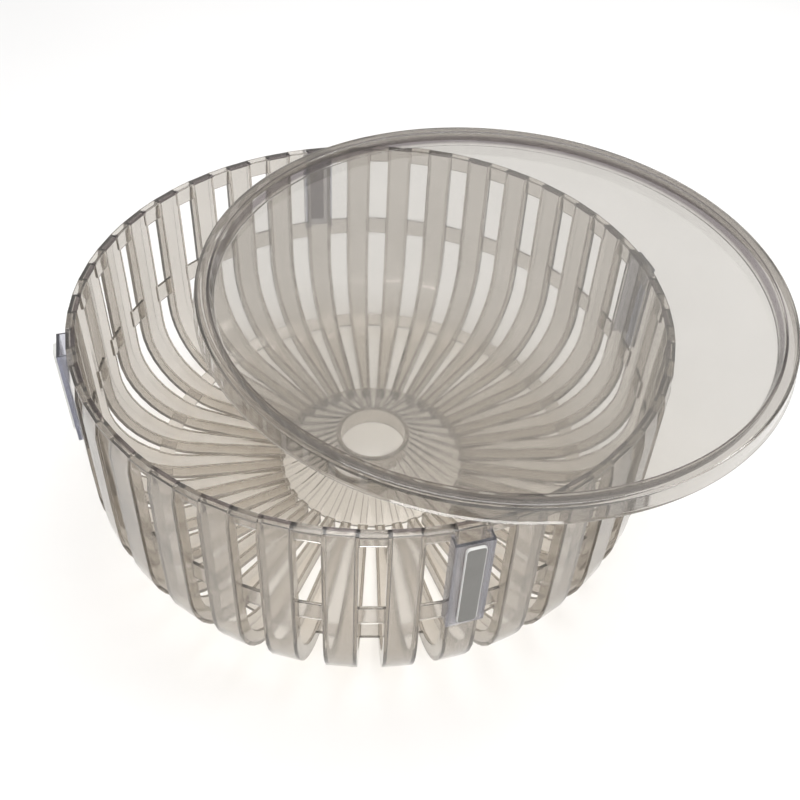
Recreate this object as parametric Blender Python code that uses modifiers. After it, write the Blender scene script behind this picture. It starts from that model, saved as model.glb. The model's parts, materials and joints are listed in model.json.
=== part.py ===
"""Round slotted container with a loose tray lid and four side clips. Metres, +Z up, front towards -Y.

The container is one moulding: hollow bars run down the wall, round the corner and along the floor to a raised
hub with a through hole, and rings join the bars at the rim, half way down and round the floor.
The origin is the centre of the underside of the object's bounding box.
"""

import math

import bmesh
import bpy
from mathutils import Matrix, Vector

# Driving dimensions
RIM_R = 0.305          # outer radius of the container's rim
HEIGHT = 0.262         # from the surface it stands on to the top of the rim
SKIN = 0.0030          # thickness of every moulded wall
GAP = 0.0003           # clearance between pieces that touch
BARS = 36
SLOT_ANGLE = math.radians(4.4)
CLIP_ANGLES = {"front": -70, "right": 20, "back": 110, "left": 200}
SHARP = math.radians(28)  # shading breaks at corners sharper than this
PAST = 0.001           # how far a cutter runs past the face it cuts

# Container, in section
BAR_ANGLE = math.tau / BARS - SLOT_ANGLE
WALL_R = 0.972 * RIM_R                  # inner face of the wall
BAR_R = 1.015 * RIM_R                   # outer face of the bars
BAR_TAPER = 0.0015                      # the bars lean in by this much under the rim
LEAST_CHANNEL = 0.35                    # share of a narrow bar's half width that stays hollow
LIP_DROP = 0.010 * RIM_R                # depth of the solid lip at the rim
BAND_DROP = 0.065 * RIM_R               # rim down to the top of the upper slots
MID_RING_DROPS = (0.354 * RIM_R, 0.430 * RIM_R)
CORNER_DROP = 0.520 * RIM_R             # rim down to where the wall starts to turn in
CORNER_R = 0.700 * RIM_R                # radius where the corner has become the floor
FLOOR_Z = 0.062 * RIM_R                 # upper face of the floor
FLOOR_RING = (0.818 * RIM_R, 0.764 * RIM_R)
HUB_R = 0.360 * RIM_R                   # where the slots end and the closed hub begins
CONE_TOP = (0.150 * RIM_R, HEIGHT - 0.700 * RIM_R)
COLLAR_R = 0.137 * RIM_R
COLLAR_TOP = HEIGHT - 0.683 * RIM_R
COLLAR_BOTTOM = HEIGHT - 0.760 * RIM_R
HOLE_R = 0.124 * RIM_R

# Lid
LID_R = 1.020 * RIM_R
LID_RIM = 0.0200                        # height of the lid's raised rim
LID_OFFSET = Vector((0.40 * RIM_R, 0.10 * RIM_R, 0.0))
LID_PLATE_R = 0.9550 * RIM_R            # edge of the flat plate
LID_SLOPE = (0.9625 * RIM_R, 0.0035)    # top of the rim's inner slope: radius, and drop from the rim's top
LID_RIDGE = (0.9680 * RIM_R, 1.0045 * RIM_R)
LID_SHOULDER = (1.0125 * RIM_R, 0.0030)
LID_LIP = 0.0026                        # thickness of the rim's lower edge
LID_HOLLOW = (0.9645 * RIM_R, 0.9715 * RIM_R, 1.0040 * RIM_R)
LID_STEPS = 72

# Clips, in the frame of their hinge axis: X outwards, Y along the rim, Z up
HINGE_R = 0.3022
HINGE_DROP = 0.0090
BOSS_R = 0.0021                         # radius of the cheeks' round bosses at the hinge
STUB_R = 0.0016                         # radius of the stubs that turn in the bar's side walls
STUB_REACH = 0.0028
CLIP_R = 1.030 * RIM_R                  # outer face of the clip
CLIP_DROPS = (0.026 * RIM_R, 0.400 * RIM_R)   # rim down to the top and to the foot of the clip
CHEEK = 0.0018                          # thickness of the clip's two cheeks
CHEEK_PLAY = 0.0004                     # clearance between a cheek and the bar's side
CHEEK_R = 0.3012                        # the cheeks' inner edges, just outside the mid ring
COVER = 0.0030                          # thickness of the clip's outer face
PAD_WIDTH = 0.0180
PAD_DROPS = (0.034 * RIM_R, 0.377 * RIM_R)
PAD_THICK = 0.0030
PAD_CORNER = 0.0040

# The container's axis is off the origin, because the lid lies to one side
BAR_FLAT_R = BAR_R * math.cos(BAR_ANGLE / 2)
AXIS = Vector((
    (BAR_FLAT_R - LID_OFFSET.x - LID_R) / 2,
    (BAR_FLAT_R - LID_OFFSET.y - LID_R) / 2,
    0.0,
))


def clear_scene():
    for obj in list(bpy.data.objects):
        bpy.data.objects.remove(obj, do_unlink=True)


def collection(name):
    made = bpy.data.collections.new(name)
    bpy.context.scene.collection.children.link(made)
    return made


def material(name, colour, roughness, alpha=1.0):
    made = bpy.data.materials.new(name)
    made.use_nodes = True
    shader = made.node_tree.nodes["Principled BSDF"]
    shader.inputs["Base Color"].default_value = (*colour, 1.0)
    shader.inputs["Roughness"].default_value = roughness
    shader.inputs["Metallic"].default_value = 0.0
    shader.inputs["Alpha"].default_value = alpha
    return made


def add_object(name, bm, home, surface=None):
    """Turn a bmesh into an object with outward faces, smooth except at its corners."""
    bmesh.ops.recalc_face_normals(bm, faces=bm.faces)
    mesh = bpy.data.meshes.new(name)
    bm.to_mesh(mesh)
    bm.free()
    mesh.shade_smooth()
    mesh.set_sharp_from_angle(angle=SHARP)
    if surface:
        mesh.materials.append(surface)
    obj = bpy.data.objects.new(name, mesh)
    home.objects.link(obj)
    return obj


def boolean(target, tool, operation):
    cut = target.modifiers.new(f"{operation.lower()} {tool.name}", "BOOLEAN")
    cut.operation = operation
    cut.solver = "EXACT"
    cut.object = tool
    tool.hide_render = True
    tool.display_type = "WIRE"


def corner_point(radius, centre_drop, foot_z, turn):
    """Point on the quarter ellipse between a wall at radius and a floor at foot_z."""
    centre_z = HEIGHT - centre_drop
    return (
        CORNER_R + (radius - CORNER_R) * math.cos(turn),
        centre_z - (centre_z - foot_z) * math.sin(turn),
    )


def container_stations():
    """Section from the rim to the hub's hole: (kind of stretch that follows, inner point, outer point)."""
    rim_z = HEIGHT
    ring_top, ring_foot = (HEIGHT - drop for drop in MID_RING_DROPS)
    stations = [
        ("lip", (WALL_R, rim_z), (RIM_R, rim_z)),
        ("ring", (WALL_R, rim_z - LIP_DROP), (RIM_R, rim_z - LIP_DROP)),
        ("slots", (WALL_R, rim_z - BAND_DROP), (BAR_R - BAR_TAPER, rim_z - BAND_DROP)),
        ("ring", (WALL_R, ring_top), (BAR_R, ring_top)),
        ("slots", (WALL_R, ring_foot), (BAR_R, ring_foot)),
    ]
    ring_turns = [math.acos((radius - CORNER_R) / (WALL_R - CORNER_R)) for radius in FLOOR_RING]
    turns = [0.0, 0.5 * ring_turns[0], *ring_turns, math.radians(90)]
    for turn in turns:
        kind = "ring" if turn == ring_turns[0] else "slots"
        inner = corner_point(WALL_R, CORNER_DROP, FLOOR_Z, turn)
        outer = corner_point(BAR_R, CORNER_DROP, 0.0, turn)
        stations.append((kind, inner, outer))
    hub_wall_r = HUB_R - SKIN
    stations += [
        ("bar end", (HUB_R, FLOOR_Z), (HUB_R, 0.0)),
        ("hub", (hub_wall_r, FLOOR_Z), (hub_wall_r, 0.0)),
        ("hub", CONE_TOP, (CONE_TOP[0], COLLAR_BOTTOM)),
        ("collar", (COLLAR_R, COLLAR_TOP), (COLLAR_R, COLLAR_BOTTOM)),
        ("end", (HOLE_R, COLLAR_TOP), (HOLE_R, COLLAR_BOTTOM)),
    ]
    return stations


def wall_layers(inner, outer):
    """The four surfaces of the wall at one station: inner skin's two faces, then outer skin's two faces."""
    a, b = Vector(inner), Vector(outer)
    skin = (b - a).normalized() * SKIN
    return a, a + skin, b - skin, b


def bar_half_widths(radius):
    """Half width of a bar and of the channel inside it, on the flat at this radius."""
    half = radius * math.tan(BAR_ANGLE / 2)
    channel = half - SKIN / math.cos(BAR_ANGLE / 2)
    return half, max(channel, LEAST_CHANNEL * half)


def is_solid(stretch, column, layer):
    """Where there is plastic. Columns: 0 and 2 the bar's side walls, 1 its channel, 3 the slot beside it."""
    if stretch in ("lip", "collar"):
        return True
    if stretch == "hub":
        return layer == 0
    if column in (0, 2):
        return True
    if column == 3:
        return layer == 0 and stretch in ("ring", "bar end")
    return layer == 2 or stretch == "bar end"


def container_mesh():
    """A lattice of cells round the axis, in which only the faces between plastic and air are made."""
    stations = container_stations()
    layers = [wall_layers(inner, outer) for _, inner, outer in stations]
    columns = 4 * BARS
    bm = bmesh.new()
    corners = {}

    def corner(column, station, layer):
        key = (column % columns, station, layer)
        if key not in corners:
            bar, edge = divmod(key[0], 4)
            radius, height = layers[station][layer]
            flat_r = radius * math.cos(BAR_ANGLE / 2)
            half, channel = bar_half_widths(flat_r)
            across = (-half, -channel, channel, half)[edge]
            turned = Matrix.Rotation(bar * math.tau / BARS, 3, "Z") @ Vector((flat_r, across, height))
            corners[key] = bm.verts.new(turned)
        return corners[key]

    def solid(column, station, layer):
        inside = 0 <= station < len(stations) - 1 and 0 <= layer < 3
        return inside and is_solid(stations[station][0], column % 4, layer)

    # Each side of a cell: the step to its neighbour and the four corners of the shared face
    sides = (
        ((1, 0, 0), ((1, 0, 0), (1, 1, 0), (1, 1, 1), (1, 0, 1))),
        ((-1, 0, 0), ((0, 0, 0), (0, 0, 1), (0, 1, 1), (0, 1, 0))),
        ((0, 1, 0), ((0, 1, 0), (0, 1, 1), (1, 1, 1), (1, 1, 0))),
        ((0, -1, 0), ((0, 0, 0), (1, 0, 0), (1, 0, 1), (0, 0, 1))),
        ((0, 0, 1), ((0, 0, 1), (1, 0, 1), (1, 1, 1), (0, 1, 1))),
        ((0, 0, -1), ((0, 0, 0), (0, 1, 0), (1, 1, 0), (1, 0, 0))),
    )
    for column in range(columns):
        for station in range(len(stations) - 1):
            for layer in range(3):
                if not solid(column, station, layer):
                    continue
                for (dc, ds, dl), face in sides:
                    if not solid(column + dc, station + ds, layer + dl):
                        bm.faces.new([corner(column + c, station + s, layer + l) for c, s, l in face])
    bmesh.ops.dissolve_limit(bm, angle_limit=math.radians(0.3), verts=bm.verts, edges=bm.edges)
    return bm


def lid_profile():
    """Radius and height, from the centre of the plate out over the rim and back underneath."""
    top, roof = LID_RIM, LID_RIM - SKIN
    hollow_foot, hollow_in, hollow_out = LID_HOLLOW
    return [
        (0.0, SKIN),
        (LID_PLATE_R, SKIN),
        (LID_SLOPE[0], top - LID_SLOPE[1]),
        (LID_RIDGE[0], top),
        (LID_RIDGE[1], top),
        (LID_SHOULDER[0], top - LID_SHOULDER[1]),
        (LID_R, 0.0),
        (LID_R - LID_LIP, 0.0),
        (hollow_out, roof),
        (hollow_in, roof),
        (hollow_foot, 0.0),
        (0.0, 0.0),
    ]


def turned_object(name, profile, steps, home, surface):
    mesh = bpy.data.meshes.new(name)
    points = [(radius, 0.0, height) for radius, height in profile]
    edges = [(i, i + 1) for i in range(len(points) - 1)]
    mesh.from_pydata(points, edges, [])
    mesh.materials.append(surface)
    obj = bpy.data.objects.new(name, mesh)
    home.objects.link(obj)
    screw = obj.modifiers.new("turn", "SCREW")
    screw.steps = steps
    screw.render_steps = steps
    screw.use_merge_vertices = True
    screw.merge_threshold = 0.0001
    screw.use_smooth_shade = True
    return obj


def box_mesh(low, high):
    low, high = Vector(low), Vector(high)
    bm = bmesh.new()
    bmesh.ops.create_cube(bm, size=1.0)
    bmesh.ops.scale(bm, vec=high - low, verts=bm.verts)
    bmesh.ops.translate(bm, vec=(low + high) / 2, verts=bm.verts)
    return bm


def add_cylinder_y(bm, radius, y_low, y_high, segments=16):
    """A closed cylinder along Y, centred on the hinge axis."""
    place = Matrix.Translation((0, (y_low + y_high) / 2, 0)) @ Matrix.Rotation(math.radians(90), 4, "X")
    bmesh.ops.create_cone(
        bm, cap_ends=True, segments=segments, radius1=radius, radius2=radius, depth=y_high - y_low, matrix=place
    )


def place_on_hinge(obj, angle):
    turn = math.radians(angle)
    reach = Vector((math.cos(turn), math.sin(turn), 0.0)) * HINGE_R
    obj.location = AXIS + reach + Vector((0.0, 0.0, HEIGHT - HINGE_DROP))
    obj.rotation_euler.z = turn


def rounded_rectangle_curve(name, width, height, corner, thickness):
    """Flat outline standing in the YZ plane, thickened along X."""
    curve = bpy.data.curves.new(name, "CURVE")
    curve.dimensions = "2D"
    curve.fill_mode = "BOTH"
    curve.extrude = thickness / 2
    spline = curve.splines.new("POLY")
    steps = 4
    points = []
    for quarter in range(4):
        sign_x = 1 if quarter in (0, 3) else -1
        sign_y = 1 if quarter in (0, 1) else -1
        centre = Vector((sign_x * (width / 2 - corner), sign_y * (height / 2 - corner)))
        for step in range(steps + 1):
            turn = math.radians(90) * (quarter + step / steps)
            points.append(centre + corner * Vector((math.cos(turn), math.sin(turn))))
    spline.points.add(len(points) - 1)
    for target, point in zip(spline.points, points):
        target.co = (point.x, point.y, 0.0, 1.0)
    spline.use_cyclic_u = True
    return curve


def build_clip(side, angle, parts, cutters, clear_plastic, pad_face, container):
    """U-shaped cover that straddles one bar and turns on stubs in the bar's side walls."""
    bar_half = BAR_FLAT_R * math.tan(BAR_ANGLE / 2)
    inner_half = bar_half + CHEEK_PLAY
    outer_half = inner_half + CHEEK
    top, foot = (HINGE_DROP - drop for drop in CLIP_DROPS)
    face = CLIP_R - HINGE_R

    cover = box_mesh((CHEEK_R - HINGE_R, -outer_half, foot), (face, outer_half, top))
    clip = add_object(f"clip_{side}", cover, parts, clear_plastic)

    bosses = bmesh.new()
    add_cylinder_y(bosses, BOSS_R, -outer_half, outer_half)
    bosses_tool = add_object(f"join_bosses_{side}", bosses, cutters)
    boolean(clip, bosses_tool, "UNION")

    hollow_low = (-BOSS_R - PAST, -inner_half, foot - PAST)
    hollow_high = (face - COVER, inner_half, BOSS_R + PAST)
    hollow_tool = add_object(f"cut_hollow_{side}", box_mesh(hollow_low, hollow_high), cutters)
    boolean(clip, hollow_tool, "DIFFERENCE")

    stubs = bmesh.new()
    holes = bmesh.new()
    for way in (-1, 1):
        stub_ends = sorted((way * (inner_half - STUB_REACH), way * (inner_half + CHEEK / 2)))
        add_cylinder_y(stubs, STUB_R, *stub_ends, segments=12)
        hole_ends = sorted((way * (bar_half - SKIN - PAST), way * (bar_half + PAST)))
        add_cylinder_y(holes, STUB_R + GAP, *hole_ends, segments=12)
    stubs_tool = add_object(f"join_stubs_{side}", stubs, cutters)
    boolean(clip, stubs_tool, "UNION")
    holes_tool = add_object(f"cut_stub_holes_{side}", holes, cutters)
    boolean(container, holes_tool, "DIFFERENCE")

    for obj in (clip, bosses_tool, hollow_tool, stubs_tool, holes_tool):
        place_on_hinge(obj, angle)

    pad_low, pad_high = (HINGE_DROP - drop for drop in reversed(PAD_DROPS))
    outline = rounded_rectangle_curve(f"pad_{side}", PAD_WIDTH, pad_high - pad_low, PAD_CORNER, PAD_THICK)
    pad = bpy.data.objects.new(f"pad_{side}", outline)
    outline.materials.append(pad_face)
    parts.objects.link(pad)
    pad.parent = clip
    pad.location = (face + GAP + PAD_THICK / 2, 0.0, (pad_low + pad_high) / 2)
    pad.rotation_euler = (math.radians(90), 0.0, math.radians(90))


def main():
    clear_scene()
    parts = collection("slotted_container")
    cutters = collection("cutters")

    container_plastic = material("container_plastic", (0.80, 0.77, 0.72), 0.12, alpha=0.35)
    container = add_object("basket", container_mesh(), parts, container_plastic)
    container.location = AXIS

    lid_plastic = material("lid_plastic", (0.84, 0.83, 0.81), 0.08, alpha=0.25)
    lid = turned_object("lid", lid_profile(), LID_STEPS, parts, lid_plastic)
    lid.location = AXIS + LID_OFFSET + Vector((0.0, 0.0, HEIGHT + GAP))

    for side, angle in CLIP_ANGLES.items():
        clip_plastic = material(f"clip_plastic_{side}", (0.70, 0.73, 0.78), 0.15, alpha=0.5)
        pad_face = material(f"pad_grey_{side}", (0.25, 0.25, 0.24), 0.55)
        build_clip(side, angle, parts, cutters, clip_plastic, pad_face, container)


main()
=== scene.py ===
"""Looks of the slotted container and its loose tray lid: clear moulded plastic on a pale floor.

Every piece is built from the boxes and joints of the CAD frame. Metres, +Z up, front towards -Y.
"""

import json
import math

import bmesh
import bpy
from mathutils import Matrix, Vector


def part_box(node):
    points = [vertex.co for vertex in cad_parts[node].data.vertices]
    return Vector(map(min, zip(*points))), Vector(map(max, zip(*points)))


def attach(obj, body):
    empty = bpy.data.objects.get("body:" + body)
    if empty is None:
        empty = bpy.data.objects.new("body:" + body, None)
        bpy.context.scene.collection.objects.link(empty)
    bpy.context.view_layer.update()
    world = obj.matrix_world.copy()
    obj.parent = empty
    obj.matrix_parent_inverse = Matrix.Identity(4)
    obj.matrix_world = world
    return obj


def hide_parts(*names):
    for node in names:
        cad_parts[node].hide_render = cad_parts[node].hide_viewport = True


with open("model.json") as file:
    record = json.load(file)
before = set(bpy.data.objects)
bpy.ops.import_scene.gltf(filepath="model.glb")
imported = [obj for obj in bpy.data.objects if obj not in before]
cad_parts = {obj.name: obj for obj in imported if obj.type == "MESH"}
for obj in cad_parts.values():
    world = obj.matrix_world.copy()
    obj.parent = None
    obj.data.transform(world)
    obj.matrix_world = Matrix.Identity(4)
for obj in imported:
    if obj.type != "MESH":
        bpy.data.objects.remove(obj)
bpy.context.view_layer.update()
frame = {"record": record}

# Driving dimensions, read from the frame
BASKET_LOW, BASKET_HIGH = (Vector(corner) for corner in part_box("basket"))
LID_LOW, LID_HIGH = (Vector(corner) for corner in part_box("lid"))
JOINTS = {joint["name"]: joint for joint in frame["record"]["behaviour"]["joints"]}

BARS = 36
SLOT_ANGLE = math.radians(4.4)
BAR_ANGLE = math.tau / BARS - SLOT_ANGLE
BAR_FLAT_R = (BASKET_HIGH.x - BASKET_LOW.x) / 2
BAR_R = BAR_FLAT_R / math.cos(BAR_ANGLE / 2)
RIM_R = BAR_R / 1.015                   # outer radius of the container's rim
HEIGHT = BASKET_HIGH.z
AXIS = Vector(((BASKET_LOW.x + BASKET_HIGH.x) / 2, (BASKET_LOW.y + BASKET_HIGH.y) / 2, 0.0))
SKIN = 0.0030                           # thickness of every moulded wall

# Container, in section
WALL_R = 0.972 * RIM_R                  # inner face of the wall
BAR_TAPER = 0.0015                      # the bars lean in by this much under the rim
LEAST_CHANNEL = 0.35                    # share of a narrow bar's half width that stays hollow
LIP_DROP = 0.010 * RIM_R                # depth of the solid lip at the rim
BAND_DROP = 0.065 * RIM_R               # rim down to the top of the upper slots
MID_RING_DROPS = (0.354 * RIM_R, 0.430 * RIM_R)
CORNER_DROP = 0.520 * RIM_R             # rim down to where the wall starts to turn in
CORNER_R = 0.700 * RIM_R                # radius where the corner has become the floor
CORNER_STEPS = 7
FLOOR_Z = 0.062 * RIM_R                 # upper face of the floor
FLOOR_RING = (0.818 * RIM_R, 0.764 * RIM_R)
HUB_R = 0.360 * RIM_R                   # where the slots end and the closed hub begins
CONE_STEPS = 6
CONE_FLARE = 1.25                       # above 1, the cone is steeper near its top
CONE_TOP = (0.150 * RIM_R, HEIGHT - 0.700 * RIM_R)
COLLAR_R = 0.137 * RIM_R
COLLAR_TOP = HEIGHT - 0.683 * RIM_R
COLLAR_BOTTOM = HEIGHT - 0.760 * RIM_R
HOLE_R = 0.124 * RIM_R
RIB_RISE = 0.0020                       # how far the bars' ridges stand up on the hub's cone

# Lid, in section
LID_R = (LID_HIGH.x - LID_LOW.x) / 2
LID_TOP = LID_HIGH.z - LID_LOW.z
PLATE_R = 0.9550 * RIM_R                # where the plate meets the rim's inner slope
PLATE_FILLET = 0.0022
RIDGE_IN = (0.9720 * RIM_R, 0.0030)     # rounded inner top edge: radius of its centre, and its own radius
RIDGE_OUT = (1.0010 * RIM_R, 0.0034)
LIP_TOP = Vector((LID_R - 0.0015, 0.0030))    # flared strip round the rim's foot
LIP_FOOT = Vector((LID_R, 0.0010))
LIP_ROUND = 0.0007
LID_STEPS = 192

# Rounding of edges
EDGE = 0.0006
CLIP_EDGE = 0.0004
PAD_EDGE = 0.0007

# Tones in the plastic, some of them painted shade and painted dark reflections
PAINTED_DARK_REFLECTION = (0.13, 0.11, 0.12)          # painted dark reflection: edges that catch the dark of the room
HUB_TONE = (0.72, 0.695, 0.66)          # the hub, where the plastic is thickest
PAINTED_CREASE_SHADE = (0.30, 0.28, 0.265)          # painted shade in the creases beside the hub's ribs
PAINTED_RIM_SHADE = (0.58, 0.555, 0.525)         # painted shade on the lid's hollow rim, which looks darker seen through both its skins
LAMP_TINT = (0.97, 0.965, 0.955)        # what the plastic lets through of the lamps' light
CLARITY = 0.95                          # the rest is haze in the moulded plastic

# Camera, in multiples of the rim's radius from the middle of the rim
CAMERA_PLACE = Vector((0.1853, -2.4074, 1.9244))
CAMERA_PITCH = math.radians(40.62)
CAMERA_ROLL = math.radians(4.65)
CAMERA_LENS = 40.97
CAMERA_SHIFT = (-0.037, -0.0876)


# Materials

class Nodes:
    """Short calls for a material's node tree."""

    def __init__(self, material):
        self.tree = material.node_tree
        self.tree.nodes.clear()

    def add(self, kind, **inputs):
        node = self.tree.nodes.new(kind)
        for name, value in inputs.items():
            self.put(node, name.replace("_", " "), value)
        return node

    def put(self, node, name, value):
        if isinstance(value, bpy.types.NodeSocket):
            self.tree.links.new(value, node.inputs[name])
        else:
            node.inputs[name].default_value = value

    def mix(self, factor, first, second):
        node = self.add("ShaderNodeMix")
        node.data_type = "RGBA"
        for name, value in (("Factor_Float", factor), ("A_Color", first), ("B_Color", second)):
            socket = next(item for item in node.inputs if item.identifier == name)
            if isinstance(value, bpy.types.NodeSocket):
                self.tree.links.new(value, socket)
            else:
                socket.default_value = (*value, 1.0)
        return next(item for item in node.outputs if item.identifier == "Result_Color")

    def noise(self, place, scale, detail=3.0, stretch=(1.0, 1.0, 1.0)):
        mapping = self.add("ShaderNodeMapping", Vector=place, Scale=stretch)
        node = self.add("ShaderNodeTexNoise", Vector=mapping.outputs["Vector"], Scale=scale, Detail=detail)
        return node.outputs["Fac"]

    def blend(self, factor, first, second, low=0.3, high=0.7):
        ramp = self.add("ShaderNodeValToRGB", Fac=factor)
        ramp.color_ramp.elements[0].position = low
        ramp.color_ramp.elements[1].position = high
        ramp.color_ramp.elements[0].color = (*first, 1.0)
        ramp.color_ramp.elements[1].color = (*second, 1.0)
        return ramp.outputs["Color"]

    def spread(self, factor, low, high):
        node = self.add("ShaderNodeMapRange", Value=factor)
        node.inputs["From Min"].default_value = 0.3
        node.inputs["From Max"].default_value = 0.7
        node.inputs["To Min"].default_value = low
        node.inputs["To Max"].default_value = high
        return node.outputs["Result"]

    def math(self, operation, first, second=0.0):
        node = self.add("ShaderNodeMath")
        node.operation = operation
        for slot, value in enumerate((first, second)):
            self.put(node, slot, value)
        return node.outputs["Value"]

    def band(self, value, low, high, soft):
        """1 between low and high, falling to 0 over soft on either side."""
        rise = self.add("ShaderNodeMapRange", Value=value, From_Min=low - soft, From_Max=low)
        fall = self.add("ShaderNodeMapRange", Value=value, From_Min=high + soft, From_Max=high)
        return self.math("MULTIPLY", rise.outputs["Result"], fall.outputs["Result"])

    def cylindrical(self, place):
        """Radius, turn and height of a point round the object's own axis."""
        split = self.add("ShaderNodeSeparateXYZ", Vector=place)
        x, y, height = (split.outputs[axis] for axis in "XYZ")
        across = self.math("ADD", self.math("MULTIPLY", x, x), self.math("MULTIPLY", y, y))
        return self.math("SQRT", across), self.math("ARCTAN2", y, x), height

    def from_bar(self, turn):
        """How far a turn is from the nearest bar's middle, in bars: 0 on a bar, 0.5 half way to the next."""
        pitch = self.math("ADD", self.math("MULTIPLY", turn, BARS / math.tau), BARS + 0.5)
        return self.math("ABSOLUTE", self.math("SUBTRACT", self.math("FRACT", pitch), 0.5))

    def bump(self, height, strength, distance, below=None):
        node = self.add("ShaderNodeBump", Height=height, Strength=strength, Distance=distance)
        if below:
            self.tree.links.new(below, node.inputs["Normal"])
        return node.outputs["Normal"]


def new_material(name):
    material = bpy.data.materials.new(name)
    material.use_nodes = True
    return material, Nodes(material)


def clear_plastic(name, clear, cloudy, depth_colour, density, roughness, ripple, tones_and_painted_shade=()):
    """Moulded clear plastic: flow marks in its tint, fine scratches, and a tone that deepens with thickness.

    Each entry of tones_and_painted_shade is a function that makes a mask, and the colour that the plastic
    takes inside it; some of these colours are painted shade and painted dark reflections.
    """
    material, nodes = new_material(name)
    place = nodes.add("ShaderNodeTexCoord").outputs["Object"]
    flow = nodes.noise(place, 9.0, detail=4.0)
    scratches = nodes.noise(place, 60.0, detail=6.0, stretch=(1.0, 1.0, 0.12))
    waves = nodes.noise(place, 22.0, detail=1.5)
    normal = nodes.bump(waves, 1.0, ripple)
    normal = nodes.bump(scratches, 0.25, 0.00004, below=normal)
    tint = nodes.blend(flow, clear, cloudy)
    for mask, colour in tones_and_painted_shade:
        tint = nodes.mix(mask(nodes, place), tint, colour)
    shader = nodes.add(
        "ShaderNodeBsdfPrincipled",
        Base_Color=tint,
        Roughness=nodes.spread(scratches, *roughness),
        Normal=normal,
        Transmission_Weight=CLARITY,
        IOR=1.49,
    )
    for_lamps = nodes.add("ShaderNodeBsdfTransparent", Color=(*LAMP_TINT, 1.0))
    lamp_ray = nodes.add("ShaderNodeLightPath").outputs["Is Shadow Ray"]
    surface = nodes.add("ShaderNodeMixShader", Fac=lamp_ray)
    nodes.tree.links.new(shader.outputs["BSDF"], surface.inputs[1])
    nodes.tree.links.new(for_lamps.outputs["BSDF"], surface.inputs[2])
    depth = nodes.add("ShaderNodeVolumeAbsorption", Color=(*depth_colour, 1.0), Density=density)
    output = nodes.add("ShaderNodeOutputMaterial", Surface=surface.outputs["Shader"])
    nodes.tree.links.new(depth.outputs["Volume"], output.inputs["Volume"])
    return material


def painted_dark_dashes(nodes, place):
    """Mask of the painted dark reflection on the container's top edge, where it closes the end of each hollow
    bar.
    """
    depth, width, soft = 0.0022, 0.0034, 0.0006
    radius, turn, height = nodes.cylindrical(place)
    at_edge = nodes.band(radius, WALL_R - 0.001, WALL_R + width, soft)
    at_top = nodes.band(height, HEIGHT - depth, HEIGHT + 0.001, soft)
    half_bar = 0.5 * BAR_ANGLE / (math.tau / BARS)
    at_bar = nodes.band(nodes.from_bar(turn), -1.0, half_bar, 0.02)
    return nodes.math("MULTIPLY", nodes.math("MULTIPLY", at_edge, at_top), at_bar)


def hub_disc(nodes, place):
    """Mask of the container's hub, from its foot to its collar."""
    radius = nodes.cylindrical(place)[0]
    return nodes.band(radius, -1.0, HUB_R, 0.006)


def painted_crease_shade_mask(nodes, place):
    """Mask of the painted shade in the fine creases on either side of each of the hub's ribs."""
    inner, outer, strength = 0.17, 0.20, 0.6
    radius, turn, _ = nodes.cylindrical(place)
    on_cone = nodes.band(radius, CONE_TOP[0] + 0.003, 0.95 * HUB_R, 0.004)
    at_crease = nodes.band(nodes.from_bar(turn), inner, outer, 0.035)
    return nodes.math("MULTIPLY", nodes.math("MULTIPLY", on_cone, at_crease), strength)


def painted_rim_shade_mask(nodes, place):
    """Mask of the painted shade on the lid's raised rim, apart from its outer skirt."""
    radius = nodes.cylindrical(place)[0]
    return nodes.band(radius, 0.9640 * RIM_R, 1.0080 * RIM_R, 0.001)


def painted_dark_line(nodes, place):
    """Mask of the painted dark reflection along the inner top edge of the lid's rim."""
    radius = nodes.cylindrical(place)[0]
    return nodes.band(radius, 0.9670 * RIM_R, 0.9700 * RIM_R, 0.0004)


def grey_pad(name):
    """Satin grey face with a fine moulded grain and a pale edge."""
    material, nodes = new_material(name)
    place = nodes.add("ShaderNodeTexCoord").outputs["Object"]
    grain = nodes.noise(place, 900.0, detail=4.0)
    patches = nodes.noise(place, 35.0, detail=3.0)
    shader = nodes.add(
        "ShaderNodeBsdfPrincipled",
        Base_Color=nodes.blend(patches, (0.172, 0.168, 0.157), (0.192, 0.188, 0.176)),
        Roughness=nodes.spread(grain, 0.42, 0.62),
        Normal=nodes.bump(grain, 0.35, 0.00006),
    )
    nodes.add("ShaderNodeOutputMaterial", Surface=shader.outputs["BSDF"])
    return material


def pale_edge(name):
    material, nodes = new_material(name)
    place = nodes.add("ShaderNodeTexCoord").outputs["Object"]
    grain = nodes.noise(place, 500.0, detail=3.0)
    shader = nodes.add(
        "ShaderNodeBsdfPrincipled",
        Base_Color=nodes.blend(grain, (0.62, 0.62, 0.60), (0.72, 0.72, 0.70)),
        Roughness=nodes.spread(grain, 0.25, 0.4),
        Normal=nodes.bump(grain, 0.2, 0.00004),
    )
    nodes.add("ShaderNodeOutputMaterial", Surface=shader.outputs["BSDF"])
    return material


def pad_back(name):
    """The pad's violet-grey back, which shows through the clip from inside the container."""
    material, nodes = new_material(name)
    place = nodes.add("ShaderNodeTexCoord").outputs["Object"]
    streaks = nodes.noise(place, 60.0, detail=3.0, stretch=(1.0, 1.0, 0.2))
    shader = nodes.add(
        "ShaderNodeBsdfPrincipled",
        Base_Color=nodes.blend(streaks, (0.76, 0.74, 0.84), (0.82, 0.80, 0.89)),
        Roughness=nodes.spread(streaks, 0.35, 0.55),
        Normal=nodes.bump(streaks, 0.2, 0.00005),
    )
    nodes.add("ShaderNodeOutputMaterial", Surface=shader.outputs["BSDF"])
    return material


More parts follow.
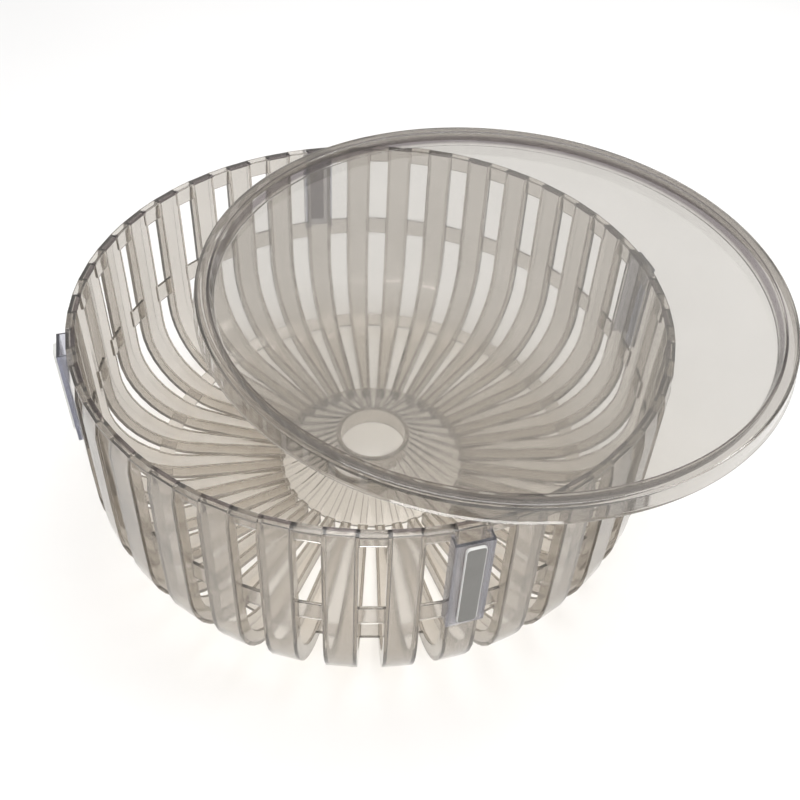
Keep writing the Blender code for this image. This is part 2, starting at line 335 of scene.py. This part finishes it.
def floor_material():
    material, nodes = new_material("floor_pale")
    place = nodes.add("ShaderNodeTexCoord").outputs["Object"]
    cloud = nodes.noise(place, 2.0, detail=2.0)
    shader = nodes.add(
        "ShaderNodeBsdfPrincipled",
        Base_Color=nodes.blend(cloud, (0.89, 0.89, 0.89), (0.91, 0.91, 0.91)),
        Roughness=0.9,
    )
    nodes.put(shader, "Specular IOR Level", 0.1)
    nodes.add("ShaderNodeOutputMaterial", Surface=shader.outputs["BSDF"])
    return material


# Shapes

def link_object(name, data, *materials):
    obj = bpy.data.objects.new(name, data)
    bpy.context.scene.collection.objects.link(obj)
    for material in materials:
        data.materials.append(material)
    return obj


def mesh_object(name, bm, *materials):
    bmesh.ops.recalc_face_normals(bm, faces=bm.faces)
    mesh = bpy.data.meshes.new(name)
    bm.to_mesh(mesh)
    bm.free()
    mesh.shade_smooth()
    return link_object(name, mesh, *materials)


def soften_edges(obj, width, segments=2, angle=32):
    bevel = obj.modifiers.new("edges", "BEVEL")
    bevel.width = width
    bevel.segments = segments
    bevel.limit_method = "ANGLE"
    bevel.angle_limit = math.radians(angle)
    normals = obj.modifiers.new("flat faces", "WEIGHTED_NORMAL")
    normals.weight = 100
    return obj


def corner_point(radius, foot_z, turn):
    """Point on the quarter ellipse between a wall at radius and a floor at foot_z."""
    centre_z = HEIGHT - CORNER_DROP
    return (
        CORNER_R + (radius - CORNER_R) * math.cos(turn),
        centre_z - (centre_z - foot_z) * math.sin(turn),
    )


def cone_point(share):
    """Point on the hub's upper face, from the closed floor (0) up its flared cone to the collar (1)."""
    foot_r = HUB_R - SKIN
    radius = foot_r + (CONE_TOP[0] - foot_r) * share
    return radius, FLOOR_Z + (CONE_TOP[1] - FLOOR_Z) * share ** CONE_FLARE


def container_stations():
    """Section from the rim to the hub's hole: (kind of stretch that follows, inner point, outer point)."""
    ring_top, ring_foot = (HEIGHT - drop for drop in MID_RING_DROPS)
    stations = [
        ("lip", (WALL_R, HEIGHT), (RIM_R, HEIGHT)),
        ("ring", (WALL_R, HEIGHT - LIP_DROP), (RIM_R, HEIGHT - LIP_DROP)),
        ("slots", (WALL_R, HEIGHT - BAND_DROP), (BAR_R - BAR_TAPER, HEIGHT - BAND_DROP)),
        ("ring", (WALL_R, ring_top), (BAR_R, ring_top)),
        ("slots", (WALL_R, ring_foot), (BAR_R, ring_foot)),
    ]
    ring_turns = [math.acos((radius - CORNER_R) / (WALL_R - CORNER_R)) for radius in FLOOR_RING]
    even_turns = [ring_turns[0] * step / CORNER_STEPS for step in range(CORNER_STEPS)]
    turns = [*even_turns, *ring_turns, math.radians(83), math.radians(90)]
    for turn in turns:
        kind = "ring" if turn == ring_turns[0] else "slots"
        stations.append((kind, corner_point(WALL_R, FLOOR_Z, turn), corner_point(BAR_R, 0.0, turn)))
    stations.append(("bar end", (HUB_R, FLOOR_Z), (HUB_R, 0.0)))
    for step in range(CONE_STEPS + 1):
        inner = cone_point(step / CONE_STEPS)
        outer_z = 0.0 if step == 0 else COLLAR_BOTTOM
        stations.append(("hub", inner, (inner[0], outer_z)))
    stations.append(("collar", (COLLAR_R, COLLAR_TOP), (COLLAR_R, COLLAR_BOTTOM)))
    stations.append(("end", (HOLE_R, COLLAR_TOP), (HOLE_R, COLLAR_BOTTOM)))
    return stations


def wall_layers(kind, inner, outer):
    """The four surfaces of the wall at one station: inner skin's two faces, then outer skin's two faces."""
    a, b = Vector(inner), Vector(outer)
    skin = (b - a).normalized() * SKIN
    if kind == "hub":
        skin = Vector((0.0, -SKIN))
    return a, a + skin, b - skin, b


def bar_half_widths(radius):
    """Half width of a bar and of the channel inside it, on the flat at this radius."""
    half = radius * math.tan(BAR_ANGLE / 2)
    channel = half - SKIN / math.cos(BAR_ANGLE / 2)
    return half, max(channel, LEAST_CHANNEL * half)


def is_solid(stretch, column, layer):
    """Where there is plastic. Columns: 0 and 2 the bar's side walls, 1 its channel, 3 the slot beside it."""
    if stretch in ("lip", "collar"):
        return True
    if stretch == "hub":
        return layer == 0
    if column in (0, 2):
        return True
    if column == 3:
        return layer == 0 and stretch in ("ring", "bar end")
    return layer == 2 or stretch == "bar end"


def container_mesh():
    """A lattice of cells round the axis, in which only the faces between plastic and air are made."""
    stations = container_stations()
    layers = [wall_layers(*station) for station in stations]
    columns = 4 * BARS
    bm = bmesh.new()
    corners = {}

    def corner(column, station, layer):
        key = (column % columns, station, layer)
        if key not in corners:
            bar, edge = divmod(key[0], 4)
            radius, height = layers[station][layer]
            on_cone = stations[station][0] == "hub" and radius < 0.97 * (HUB_R - SKIN)
            if on_cone and edge in (1, 2) and layer < 2:
                height += RIB_RISE
            flat_r = radius * math.cos(BAR_ANGLE / 2)
            half, channel = bar_half_widths(flat_r)
            across = (-half, -channel, channel, half)[edge]
            turned = Matrix.Rotation(bar * math.tau / BARS, 3, "Z") @ Vector((flat_r, across, height))
            corners[key] = bm.verts.new(turned)
        return corners[key]

    def solid(column, station, layer):
        inside = 0 <= station < len(stations) - 1 and 0 <= layer < 3
        return inside and is_solid(stations[station][0], column % 4, layer)

    # Each side of a cell: the step to its neighbour and the four corners of the shared face
    sides = (
        ((1, 0, 0), ((1, 0, 0), (1, 1, 0), (1, 1, 1), (1, 0, 1))),
        ((-1, 0, 0), ((0, 0, 0), (0, 0, 1), (0, 1, 1), (0, 1, 0))),
        ((0, 1, 0), ((0, 1, 0), (0, 1, 1), (1, 1, 1), (1, 1, 0))),
        ((0, -1, 0), ((0, 0, 0), (1, 0, 0), (1, 0, 1), (0, 0, 1))),
        ((0, 0, 1), ((0, 0, 1), (1, 0, 1), (1, 1, 1), (0, 1, 1))),
        ((0, 0, -1), ((0, 0, 0), (0, 1, 0), (1, 1, 0), (1, 0, 0))),
    )
    for column in range(columns):
        for station in range(len(stations) - 1):
            for layer in range(3):
                if not solid(column, station, layer):
                    continue
                for (dc, ds, dl), face in sides:
                    if not solid(column + dc, station + ds, layer + dl):
                        bm.faces.new([corner(column + c, station + s, layer + l) for c, s, l in face])
    bmesh.ops.dissolve_limit(bm, angle_limit=math.radians(0.3), verts=bm.verts, edges=bm.edges)
    return bm


def arc(centre, radius, start, stop, steps):
    """Points on an arc in the section plane; angles in degrees, 0 outwards and 90 up."""
    points = []
    for step in range(steps + 1):
        turn = math.radians(start + (stop - start) * step / steps)
        points.append((centre[0] + radius * math.cos(turn), centre[1] + radius * math.sin(turn)))
    return points


def lid_profile():
    """Radius and height, from the centre of the plate out over the rounded rim and back underneath."""
    roof = LID_TOP - SKIN
    inner_r, inner_round = RIDGE_IN
    outer_r, outer_round = RIDGE_OUT
    return [
        (0.0, SKIN),
        (0.35 * PLATE_R, SKIN),
        (0.80 * PLATE_R, SKIN),
        *arc((PLATE_R - PLATE_FILLET, SKIN + PLATE_FILLET), PLATE_FILLET, -90, -28, 4),
        *arc((inner_r, LID_TOP - inner_round), inner_round, 155, 90, 5),
        *arc((outer_r, LID_TOP - outer_round), outer_round, 90, 25, 5),
        *(LIP_TOP.lerp(LIP_FOOT, share) for share in (0.0, 0.07, 0.93, 1.0)),
        *arc((LID_R - LIP_ROUND, LIP_ROUND), LIP_ROUND, 0, -90, 2),
        (LID_R - 0.0026, 0.0),
        (LID_R - 0.0034, 0.0022),
        (1.0010 * RIM_R, roof - 0.0012),
        (0.9990 * RIM_R, roof),
        (0.9740 * RIM_R, roof),
        (0.9715 * RIM_R, roof - 0.0012),
        (0.9650 * RIM_R, 0.0008),
        (0.9640 * RIM_R, 0.0),
        (0.0, 0.0),
    ]


def lid_object(material):
    mesh = bpy.data.meshes.new("lid_shell")
    points = [(radius, 0.0, height) for radius, height in lid_profile()]
    mesh.from_pydata(points, [(i, i + 1) for i in range(len(points) - 1)], [])
    lid = link_object("lid_shell", mesh, material)
    screw = lid.modifiers.new("turn", "SCREW")
    screw.steps = screw.render_steps = LID_STEPS
    screw.use_merge_vertices = True
    screw.merge_threshold = 0.0001
    screw.use_smooth_shade = True
    normals = lid.modifiers.new("flat faces", "WEIGHTED_NORMAL")
    normals.weight = 100
    lid.location = ((LID_LOW.x + LID_HIGH.x) / 2, (LID_LOW.y + LID_HIGH.y) / 2, LID_LOW.z)
    return lid


def copied_solid(name, node, material):
    """A clean copy of a CAD node's mesh, with its flat faces whole again so that its edges can be rounded."""
    bm = bmesh.new()
    bm.from_mesh(bpy.data.objects[node].data)
    bmesh.ops.remove_doubles(bm, verts=bm.verts, dist=0.00002)
    bmesh.ops.dissolve_limit(bm, angle_limit=math.radians(1.0), verts=bm.verts, edges=bm.edges)
    return mesh_object(name, bm, material)


def pad_object(side, face_material, edge_material, back_material):
    """Grey plate with a pale edge, built where the CAD pad lies."""
    pad = copied_solid(f"pad_plate_{side}", f"pad_{side}", face_material)
    pad.data.materials.append(edge_material)
    pad.data.materials.append(back_material)
    outwards = outward(side)
    for face in pad.data.polygons:
        facing = face.normal.dot(outwards)
        face.material_index = 0 if facing > 0.9 else 2 if facing < -0.9 else 1
    bevel = soften_edges(pad, PAD_EDGE, segments=3, angle=40).modifiers["edges"]
    bevel.material = 1
    return pad


def outward(side):
    """The level direction in which a clip faces, square to its hinge."""
    axis = Vector(JOINTS[f"clip_{side}_swing"]["axis"])
    return Vector((0.0, 0.0, 1.0)).cross(axis)


def studio_world():
    """A sky that is pale overhead and a little darker towards the horizon."""
    world = bpy.data.worlds.new("studio")
    bpy.context.scene.world = world
    world.use_nodes = True
    tree = world.node_tree
    background = tree.nodes["Background"]
    direction = tree.nodes.new("ShaderNodeTexCoord")
    split = tree.nodes.new("ShaderNodeSeparateXYZ")
    ramp = tree.nodes.new("ShaderNodeValToRGB")
    ramp.color_ramp.elements[0].position = 0.02
    ramp.color_ramp.elements[0].color = (0.60, 0.585, 0.585, 1.0)
    ramp.color_ramp.elements[1].position = 0.45
    ramp.color_ramp.elements[1].color = (1.0, 0.99, 0.98, 1.0)
    tree.links.new(direction.outputs["Generated"], split.inputs["Vector"])
    tree.links.new(split.outputs["Z"], ramp.inputs["Fac"])
    tree.links.new(ramp.outputs["Color"], background.inputs["Color"])
    background.inputs["Strength"].default_value = 0.7


def stage_and_light():
    bpy.ops.mesh.primitive_plane_add(size=12.0, location=(0.0, 0.0, -0.0004))
    floor = bpy.context.object
    floor.name = "floor"
    floor.data.materials.append(floor_material())

    studio_world()
    # Name, place, width and height, power. The front lamp glints on the lid's flared lip.
    lamps = (
        ("ceiling", (0.2, 0.6, 3.2), (2.0, 2.0), 51.0),
        ("front", (0.0, -2.3, 1.07), (2.2, 0.2), 13.0),
        ("side", (2.4, -0.2, 1.5), (0.6, 0.6), 14.0),
    )
    for name, place, size, power in lamps:
        lamp = bpy.data.lights.new(name, "AREA")
        lamp.shape = "RECTANGLE"
        lamp.size, lamp.size_y = size
        lamp.energy = power
        light = bpy.data.objects.new(name, lamp)
        light.location = place
        light.rotation_euler = (-Vector(place)).to_track_quat("-Z", "Y").to_euler()
        bpy.context.scene.collection.objects.link(light)


def place_camera():
    camera = bpy.data.cameras.new("camera")
    camera.lens = CAMERA_LENS
    camera.sensor_width = 36.0
    camera.shift_x, camera.shift_y = CAMERA_SHIFT
    obj = bpy.data.objects.new("camera", camera)
    place = AXIS + Vector((0.0, 0.0, HEIGHT)) + CAMERA_PLACE * RIM_R
    tilt = Matrix.Rotation(math.radians(90) - CAMERA_PITCH, 4, "X") @ Matrix.Rotation(CAMERA_ROLL, 4, "Z")
    obj.matrix_world = Matrix.Translation(place) @ tilt
    bpy.context.scene.collection.objects.link(obj)
    bpy.context.scene.camera = obj


def main():
    place_camera()
    stage_and_light()
    bpy.context.scene.view_settings.view_transform = "Standard"
    light_paths = bpy.context.scene.cycles
    light_paths.max_bounces = light_paths.transmission_bounces = 20
    light_paths.transparent_max_bounces = 24

    container_plastic = clear_plastic(
        "container_clear",
        clear=(0.78, 0.755, 0.72),
        cloudy=(0.73, 0.705, 0.67),
        depth_colour=(0.70, 0.67, 0.63),
        density=95.0,
        roughness=(0.05, 0.13),
        ripple=0.00025,
        # The rim's top edge gets a painted dark reflection, and the creases beside the hub's ribs get painted
        # shade.
        tones_and_painted_shade=((hub_disc, HUB_TONE), (painted_crease_shade_mask, PAINTED_CREASE_SHADE), (painted_dark_dashes, PAINTED_DARK_REFLECTION)),
    )
    basket = mesh_object("basket_shell", container_mesh(), container_plastic)
    basket.location = AXIS
    soften_edges(basket, EDGE)
    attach(basket, "container")
    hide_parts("basket")

    lid_plastic = clear_plastic(
        "lid_clear",
        clear=(0.72, 0.705, 0.68),
        cloudy=(0.685, 0.67, 0.645),
        depth_colour=(0.70, 0.675, 0.64),
        density=80.0,
        roughness=(0.02, 0.07),
        ripple=0.00015,
        # The rim gets painted shade, and its inner top edge a painted dark reflection.
        tones_and_painted_shade=((painted_rim_shade_mask, PAINTED_RIM_SHADE), (painted_dark_line, PAINTED_DARK_REFLECTION)),
    )
    lid = lid_object(lid_plastic)
    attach(lid, "lid")
    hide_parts("lid")

    clip_plastic = clear_plastic(
        "clip_clear",
        clear=(0.74, 0.75, 0.80),
        cloudy=(0.68, 0.69, 0.75),
        depth_colour=(0.68, 0.69, 0.75),
        density=90.0,
        roughness=(0.08, 0.18),
        ripple=0.0001,
    )
    pad_face = grey_pad("pad_grey")
    pad_rim = pale_edge("pad_edge")
    pad_rear = pad_back("pad_back")
    for side in ("front", "right", "back", "left"):
        clip = copied_solid(f"clip_cover_{side}", f"clip_{side}", clip_plastic)
        soften_edges(clip, CLIP_EDGE)
        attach(clip, f"clip_{side}")
        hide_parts(f"clip_{side}")
        pad = pad_object(side, pad_face, pad_rim, pad_rear)
        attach(pad, f"clip_{side}")
        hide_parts(f"pad_{side}")


main()
